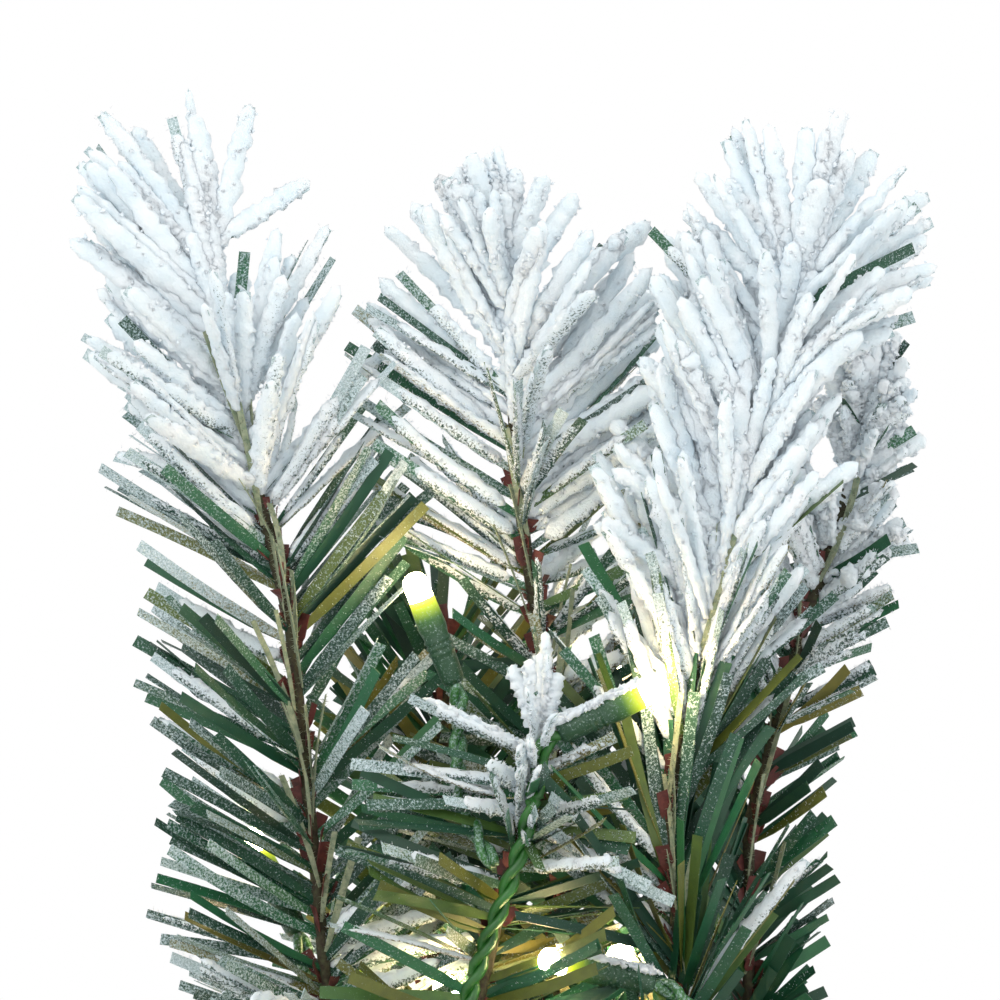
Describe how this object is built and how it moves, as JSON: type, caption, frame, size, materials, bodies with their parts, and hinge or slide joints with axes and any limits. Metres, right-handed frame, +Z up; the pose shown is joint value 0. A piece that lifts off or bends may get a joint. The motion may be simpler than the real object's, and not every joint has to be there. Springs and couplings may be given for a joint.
{
  "type": "artificial tabletop tree",
  "caption": "Flocked artificial tabletop tree with hinged branches, an upright lit crown, a pole that lifts out of a burlap wrapped base, and a battery case on the pole.",
  "frame": {"origin": "centre of the flat underside of the base, on the pole's axis", "axes": "+Z up along the pole; -Y is the front, and the battery case is on the +Y side"},
  "size_m": [0.359, 0.3421, 0.6234],
  "materials": {
    "pvc_needles": "matte",
    "needle_film": "satin",
    "snow_flock": "matte",
    "bark_film": "matte",
    "bound_wire_stem": "matte",
    "painted_steel": "satin",
    "zinc_steel": "satin",
    "binding_tape": "matte",
    "pot_plastic": "matte",
    "case_plastic": "satin",
    "contact_steel": "satin",
    "cell_jacket": "satin",
    "board_laminate": "satin",
    "gland_rubber": "matte",
    "wire_insulation": "satin",
    "husk_plastic": "satin",
    "warm_white_diode": "gloss",
    "burlap": "matte",
    "jute_twine": "matte",
    "cast_cement": "matte"
  },
  "bodies": {
    "base": {"base_pot": "pot_plastic", "pole_socket": "pot_plastic", "cast_ballast": "cast_cement", "burlap_wrap": "burlap", "twine_tie": "jute_twine"},
    "trunk": {"battery_case": "case_plastic", "battery_contacts": "contact_steel", "cells": "cell_jacket", "crown_back_needles": "pvc_needles", "crown_back_stem": "bound_wire_stem", "crown_binding": "binding_tape", "crown_front_needles": "pvc_needles", "crown_front_stem": "bound_wire_stem", "crown_left_needles": "pvc_needles", "crown_left_stem": "bound_wire_stem", "crown_middle_needles": "pvc_needles", "crown_middle_stem": "bound_wire_stem", "crown_right_back_needles": "pvc_needles", "crown_right_back_stem": "bound_wire_stem", "crown_right_front_needles": "pvc_needles", "crown_right_front_stem": "bound_wire_stem", "hinge_pins": "zinc_steel", "lamp_diodes": "warm_white_diode", "lamp_husks": "husk_plastic", "light_string": "wire_insulation", "lower_collar": "painted_steel", "middle_collar": "painted_steel", "pole_plug": "pot_plastic", "timer_board": "board_laminate", "trunk_pole": "painted_steel", "upper_collar": "painted_steel", "wire_gland": "gland_rubber"},
    "battery_cover": {"battery_cover": "case_plastic"},
    "switch_slider": {"switch_slider": "pot_plastic"},
    "lower_branch_1": {"lower_branch_1_stem": "bound_wire_stem", "lower_branch_1_needles": "pvc_needles"},
    "lower_branch_2": {"lower_branch_2_stem": "bound_wire_stem", "lower_branch_2_needles": "pvc_needles"},
    "lower_branch_3": {"lower_branch_3_stem": "bound_wire_stem", "lower_branch_3_needles": "pvc_needles"},
    "lower_branch_4": {"lower_branch_4_stem": "bound_wire_stem", "lower_branch_4_needles": "pvc_needles"},
    "lower_branch_5": {"lower_branch_5_stem": "bound_wire_stem", "lower_branch_5_needles": "pvc_needles"},
    "middle_branch_1": {"middle_branch_1_stem": "bound_wire_stem", "middle_branch_1_needles": "pvc_needles"},
    "middle_branch_2": {"middle_branch_2_stem": "bound_wire_stem", "middle_branch_2_needles": "pvc_needles"},
    "middle_branch_3": {"middle_branch_3_stem": "bound_wire_stem", "middle_branch_3_needles": "pvc_needles"},
    "middle_branch_4": {"middle_branch_4_stem": "bound_wire_stem", "middle_branch_4_needles": "pvc_needles"},
    "upper_branch_1": {"upper_branch_1_stem": "bound_wire_stem", "upper_branch_1_needles": "pvc_needles"},
    "upper_branch_2": {"upper_branch_2_stem": "bound_wire_stem", "upper_branch_2_needles": "pvc_needles"},
    "upper_branch_3": {"upper_branch_3_stem": "bound_wire_stem", "upper_branch_3_needles": "pvc_needles"}
  },
  "joints": [
    {"name": "pole_lift", "type": "slide", "parent": "base", "child": "trunk", "axis": [0, 0, 1], "range_m": [0, 0.075]},
    {"name": "cover_slide", "type": "slide", "parent": "trunk", "child": "battery_cover", "axis": [0, 0, 1], "range_m": [0, 0.01]},
    {"name": "switch_travel", "type": "slide", "parent": "trunk", "child": "switch_slider", "axis": [0, 0, 1], "range_m": [0, 0.004]},
    {"name": "lower_branch_1_fold", "type": "hinge", "parent": "trunk", "child": "lower_branch_1", "pos_m": [0.01176, 0.01618, 0.185], "axis": [0.809, -0.5878, 0], "range_deg": [0, 42]},
    {"name": "lower_branch_2_fold", "type": "hinge", "parent": "trunk", "child": "lower_branch_2", "pos_m": [-0.01176, 0.01618, 0.185], "axis": [0.809, 0.5878, 0], "range_deg": [0, 42]},
    {"name": "lower_branch_3_fold", "type": "hinge", "parent": "trunk", "child": "lower_branch_3", "pos_m": [-0.01902, -0.00618, 0.185], "axis": [-0.309, 0.9511, 0], "range_deg": [0, 42]},
    {"name": "lower_branch_4_fold", "type": "hinge", "parent": "trunk", "child": "lower_branch_4", "pos_m": [0, -0.02, 0.185], "axis": [-1, 0, 0], "range_deg": [0, 42]},
    {"name": "lower_branch_5_fold", "type": "hinge", "parent": "trunk", "child": "lower_branch_5", "pos_m": [0.01902, -0.00618, 0.185], "axis": [-0.309, -0.9511, 0], "range_deg": [0, 42]},
    {"name": "middle_branch_1_fold", "type": "hinge", "parent": "trunk", "child": "middle_branch_1", "pos_m": [0.01, 0.01732, 0.255], "axis": [0.866, -0.5, 0], "range_deg": [0, 33.6]},
    {"name": "middle_branch_2_fold", "type": "hinge", "parent": "trunk", "child": "middle_branch_2", "pos_m": [-0.01732, 0.01, 0.255], "axis": [0.5, 0.866, 0], "range_deg": [0, 33.6]},
    {"name": "middle_branch_3_fold", "type": "hinge", "parent": "trunk", "child": "middle_branch_3", "pos_m": [-0.01, -0.01732, 0.255], "axis": [-0.866, 0.5, 0], "range_deg": [0, 33.6]},
    {"name": "middle_branch_4_fold", "type": "hinge", "parent": "trunk", "child": "middle_branch_4", "pos_m": [0.01732, -0.01, 0.255], "axis": [-0.5, -0.866, 0], "range_deg": [0, 33.6]},
    {"name": "upper_branch_1_fold", "type": "hinge", "parent": "trunk", "child": "upper_branch_1", "pos_m": [0.01732, 0.01, 0.325], "axis": [0.5, -0.866, 0], "range_deg": [0, 21]},
    {"name": "upper_branch_2_fold", "type": "hinge", "parent": "trunk", "child": "upper_branch_2", "pos_m": [-0.01732, 0.01, 0.325], "axis": [0.5, 0.866, 0], "range_deg": [0, 21]},
    {"name": "upper_branch_3_fold", "type": "hinge", "parent": "trunk", "child": "upper_branch_3", "pos_m": [0, -0.02, 0.325], "axis": [-1, 0, 0], "range_deg": [0, 21]}
  ],
  "couplings": [
    {"joint": "lower_branch_2_fold", "follows": "lower_branch_1_fold", "ratio": 1},
    {"joint": "lower_branch_3_fold", "follows": "lower_branch_1_fold", "ratio": 1},
    {"joint": "lower_branch_4_fold", "follows": "lower_branch_1_fold", "ratio": 1},
    {"joint": "lower_branch_5_fold", "follows": "lower_branch_1_fold", "ratio": 1},
    {"joint": "middle_branch_1_fold", "follows": "lower_branch_1_fold", "ratio": 0.8},
    {"joint": "middle_branch_2_fold", "follows": "lower_branch_1_fold", "ratio": 0.8},
    {"joint": "middle_branch_3_fold", "follows": "lower_branch_1_fold", "ratio": 0.8},
    {"joint": "middle_branch_4_fold", "follows": "lower_branch_1_fold", "ratio": 0.8},
    {"joint": "upper_branch_1_fold", "follows": "lower_branch_1_fold", "ratio": 0.5},
    {"joint": "upper_branch_2_fold", "follows": "lower_branch_1_fold", "ratio": 0.5},
    {"joint": "upper_branch_3_fold", "follows": "lower_branch_1_fold", "ratio": 0.5}
  ]
}
